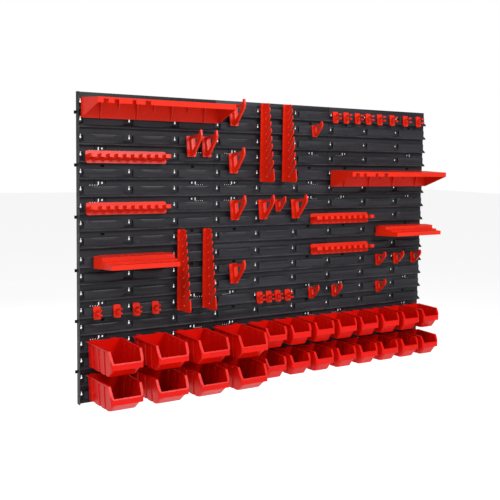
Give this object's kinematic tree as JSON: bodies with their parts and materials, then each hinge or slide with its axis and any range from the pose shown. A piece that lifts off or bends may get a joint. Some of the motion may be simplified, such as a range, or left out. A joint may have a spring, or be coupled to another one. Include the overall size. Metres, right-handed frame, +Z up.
{
  "type": "wall storage panel set",
  "caption": "Wall of slatted dark panels with bright hang-on shelves, hooks, clips, racks and rows of open storage bins for workshop tools.",
  "frame": {"origin": "centre of the four outer wall screws, on the back plane of the panels, which lies against the room wall", "axes": "+X to the right seen from the front, +Y into the room wall, +Z up; the front faces -Y"},
  "size_m": [1.1678, 0.1641, 0.7832],
  "materials": {
    "panel_black": "satin",
    "holder_red": "gloss",
    "bin_red": "gloss"
  },
  "bodies": {
    "wall": {"panel_upper_1": "panel_black", "panel_upper_2": "panel_black", "panel_upper_3": "panel_black", "panel_lower_1": "panel_black", "panel_lower_2": "panel_black", "panel_lower_3": "panel_black", "shelf_1": "holder_red", "shelf_2": "holder_red", "comb_rail_1": "holder_red", "comb_rail_2": "holder_red", "comb_rail_3": "holder_red", "comb_rail_4": "holder_red", "stepped_holder_1": "holder_red", "stepped_holder_2": "holder_red", "slot_rack_1": "holder_red", "slot_rack_2": "holder_red", "slot_rack_3": "holder_red", "slot_rack_4": "holder_red", "large_hook_1": "holder_red", "large_hook_2": "holder_red", "large_hook_3": "holder_red", "large_hook_4": "holder_red", "large_hook_5": "holder_red", "large_hook_6": "holder_red", "large_hook_7": "holder_red", "large_hook_8": "holder_red", "small_hook_1": "holder_red", "small_hook_2": "holder_red", "small_hook_3": "holder_red", "small_hook_4": "holder_red", "small_hook_5": "holder_red", "small_hook_6": "holder_red", "small_hook_7": "holder_red", "small_hook_8": "holder_red", "clips_upper": "holder_red", "clips_lower": "holder_red"},
    "large_bin_1_1": {"large_bin_1_1": "bin_red"},
    "large_bin_1_2": {"large_bin_1_2": "bin_red"},
    "large_bin_1_3": {"large_bin_1_3": "bin_red"},
    "large_bin_1_4": {"large_bin_1_4": "bin_red"},
    "large_bin_2_1": {"large_bin_2_1": "bin_red"},
    "large_bin_2_2": {"large_bin_2_2": "bin_red"},
    "large_bin_2_3": {"large_bin_2_3": "bin_red"},
    "large_bin_2_4": {"large_bin_2_4": "bin_red"},
    "small_bin_1_1": {"small_bin_1_1": "bin_red"},
    "small_bin_1_2": {"small_bin_1_2": "bin_red"},
    "small_bin_1_3": {"small_bin_1_3": "bin_red"},
    "small_bin_1_4": {"small_bin_1_4": "bin_red"},
    "small_bin_1_5": {"small_bin_1_5": "bin_red"},
    "small_bin_1_6": {"small_bin_1_6": "bin_red"},
    "small_bin_1_7": {"small_bin_1_7": "bin_red"},
    "small_bin_1_8": {"small_bin_1_8": "bin_red"},
    "small_bin_2_1": {"small_bin_2_1": "bin_red"},
    "small_bin_2_2": {"small_bin_2_2": "bin_red"},
    "small_bin_2_3": {"small_bin_2_3": "bin_red"},
    "small_bin_2_4": {"small_bin_2_4": "bin_red"},
    "small_bin_2_5": {"small_bin_2_5": "bin_red"},
    "small_bin_2_6": {"small_bin_2_6": "bin_red"},
    "small_bin_2_7": {"small_bin_2_7": "bin_red"},
    "small_bin_2_8": {"small_bin_2_8": "bin_red"}
  },
  "joints": [
    {"name": "lift_large_bin_1_1", "type": "slide", "parent": "wall", "child": "large_bin_1_1", "axis": [0, 0, 1], "range_m": [0, 0.01]},
    {"name": "lift_large_bin_1_2", "type": "slide", "parent": "wall", "child": "large_bin_1_2", "axis": [0, 0, 1], "range_m": [0, 0.01]},
    {"name": "lift_large_bin_1_3", "type": "slide", "parent": "wall", "child": "large_bin_1_3", "axis": [0, 0, 1], "range_m": [0, 0.01]},
    {"name": "lift_large_bin_1_4", "type": "slide", "parent": "wall", "child": "large_bin_1_4", "axis": [0, 0, 1], "range_m": [0, 0.01]},
    {"name": "lift_large_bin_2_1", "type": "slide", "parent": "wall", "child": "large_bin_2_1", "axis": [0, 0, 1], "range_m": [0, 0.01]},
    {"name": "lift_large_bin_2_2", "type": "slide", "parent": "wall", "child": "large_bin_2_2", "axis": [0, 0, 1], "range_m": [0, 0.01]},
    {"name": "lift_large_bin_2_3", "type": "slide", "parent": "wall", "child": "large_bin_2_3", "axis": [0, 0, 1], "range_m": [0, 0.01]},
    {"name": "lift_large_bin_2_4", "type": "slide", "parent": "wall", "child": "large_bin_2_4", "axis": [0, 0, 1], "range_m": [0, 0.01]},
    {"name": "lift_small_bin_1_1", "type": "slide", "parent": "wall", "child": "small_bin_1_1", "axis": [0, 0, 1], "range_m": [0, 0.01]},
    {"name": "lift_small_bin_1_2", "type": "slide", "parent": "wall", "child": "small_bin_1_2", "axis": [0, 0, 1], "range_m": [0, 0.01]},
    {"name": "lift_small_bin_1_3", "type": "slide", "parent": "wall", "child": "small_bin_1_3", "axis": [0, 0, 1], "range_m": [0, 0.01]},
    {"name": "lift_small_bin_1_4", "type": "slide", "parent": "wall", "child": "small_bin_1_4", "axis": [0, 0, 1], "range_m": [0, 0.01]},
    {"name": "lift_small_bin_1_5", "type": "slide", "parent": "wall", "child": "small_bin_1_5", "axis": [0, 0, 1], "range_m": [0, 0.01]},
    {"name": "lift_small_bin_1_6", "type": "slide", "parent": "wall", "child": "small_bin_1_6", "axis": [0, 0, 1], "range_m": [0, 0.01]},
    {"name": "lift_small_bin_1_7", "type": "slide", "parent": "wall", "child": "small_bin_1_7", "axis": [0, 0, 1], "range_m": [0, 0.01]},
    {"name": "lift_small_bin_1_8", "type": "slide", "parent": "wall", "child": "small_bin_1_8", "axis": [0, 0, 1], "range_m": [0, 0.01]},
    {"name": "lift_small_bin_2_1", "type": "slide", "parent": "wall", "child": "small_bin_2_1", "axis": [0, 0, 1], "range_m": [0, 0.01]},
    {"name": "lift_small_bin_2_2", "type": "slide", "parent": "wall", "child": "small_bin_2_2", "axis": [0, 0, 1], "range_m": [0, 0.01]},
    {"name": "lift_small_bin_2_3", "type": "slide", "parent": "wall", "child": "small_bin_2_3", "axis": [0, 0, 1], "range_m": [0, 0.01]},
    {"name": "lift_small_bin_2_4", "type": "slide", "parent": "wall", "child": "small_bin_2_4", "axis": [0, 0, 1], "range_m": [0, 0.01]},
    {"name": "lift_small_bin_2_5", "type": "slide", "parent": "wall", "child": "small_bin_2_5", "axis": [0, 0, 1], "range_m": [0, 0.01]},
    {"name": "lift_small_bin_2_6", "type": "slide", "parent": "wall", "child": "small_bin_2_6", "axis": [0, 0, 1], "range_m": [0, 0.01]},
    {"name": "lift_small_bin_2_7", "type": "slide", "parent": "wall", "child": "small_bin_2_7", "axis": [0, 0, 1], "range_m": [0, 0.01]},
    {"name": "lift_small_bin_2_8", "type": "slide", "parent": "wall", "child": "small_bin_2_8", "axis": [0, 0, 1], "range_m": [0, 0.01]}
  ]
}
